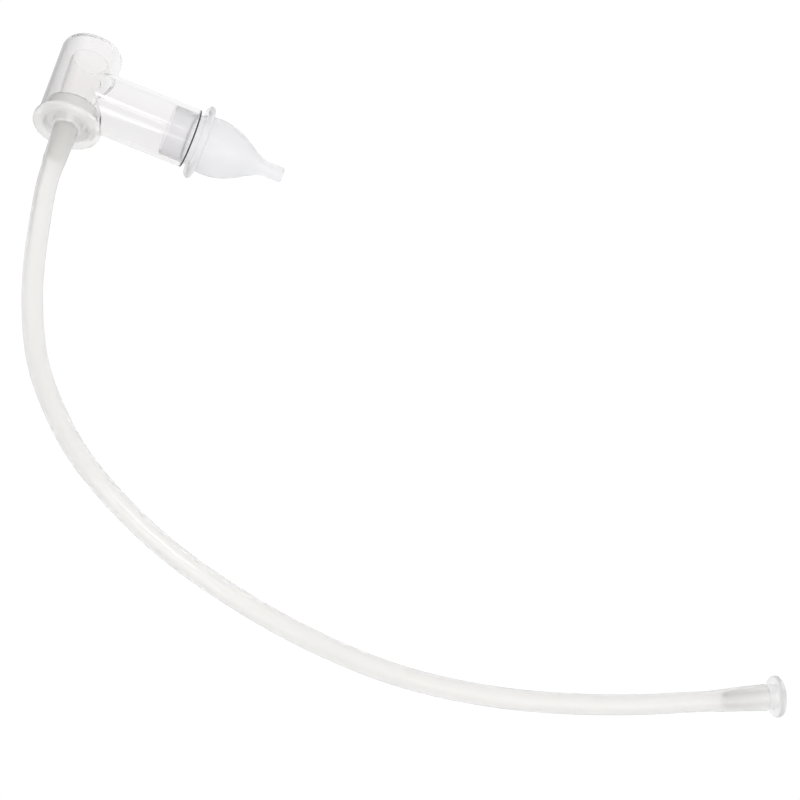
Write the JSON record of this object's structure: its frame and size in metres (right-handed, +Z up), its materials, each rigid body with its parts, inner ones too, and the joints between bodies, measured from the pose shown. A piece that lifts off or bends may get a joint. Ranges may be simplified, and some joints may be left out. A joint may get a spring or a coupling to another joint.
{
  "type": "nasal aspirator",
  "caption": "Mouth-operated nasal aspirator: clear T-shaped chamber with a soft bullet nozzle, a stopper with a standpipe, a thin curved hose and a disc mouthpiece.",
  "frame": {"origin": "below the middle of the chamber assembly (chamber, nozzle, stopper and standpipe), on the surface that it lies on", "axes": "+X along the chamber's branch towards the nozzle's tip, +Y along the main tube towards its closed end, +Z up from the surface"},
  "size_m": [0.2865, 0.1731, 0.0246],
  "materials": {
    "clear_chamber": "clear polystyrene, polished, water-clear with dark edges where it refracts",
    "clear_standpipe": "clear plastic, polished",
    "nozzle_silicone": "soft silicone, cloudy translucent with a faint cool tint, satin",
    "cap_plastic": "translucent soft polyethylene, faintly warm, semi-gloss",
    "hose_rubber": "translucent warm-white tubing, satin, with faint lengthwise lines",
    "clear_mouthpiece": "clear plastic, polished"
  },
  "bodies": {
    "chamber": {"chamber_body": "clear_chamber"},
    "nozzle": {"nozzle": "nozzle_silicone"},
    "stopper": {"end_cap": "cap_plastic", "inner_tube": "clear_standpipe"},
    "hose": {"hose": "hose_rubber"},
    "mouthpiece": {"mouthpiece": "clear_mouthpiece"}
  },
  "joints": [
    {"name": "nozzle_pull", "type": "slide", "parent": "chamber", "child": "nozzle", "axis": [1, 0, 0], "range_m": [0, 0.02]},
    {"name": "stopper_pull", "type": "slide", "parent": "chamber", "child": "stopper", "axis": [0, -1, 0], "range_m": [0, 0.035]},
    {"name": "hose_pull", "type": "slide", "parent": "stopper", "child": "hose", "axis": [0, -1, 0], "range_m": [0, 0.016]},
    {"name": "mouthpiece_pull", "type": "slide", "parent": "hose", "child": "mouthpiece", "axis": [0.9268, 0.3373, 0.165], "range_m": [0, 0.018]}
  ]
}
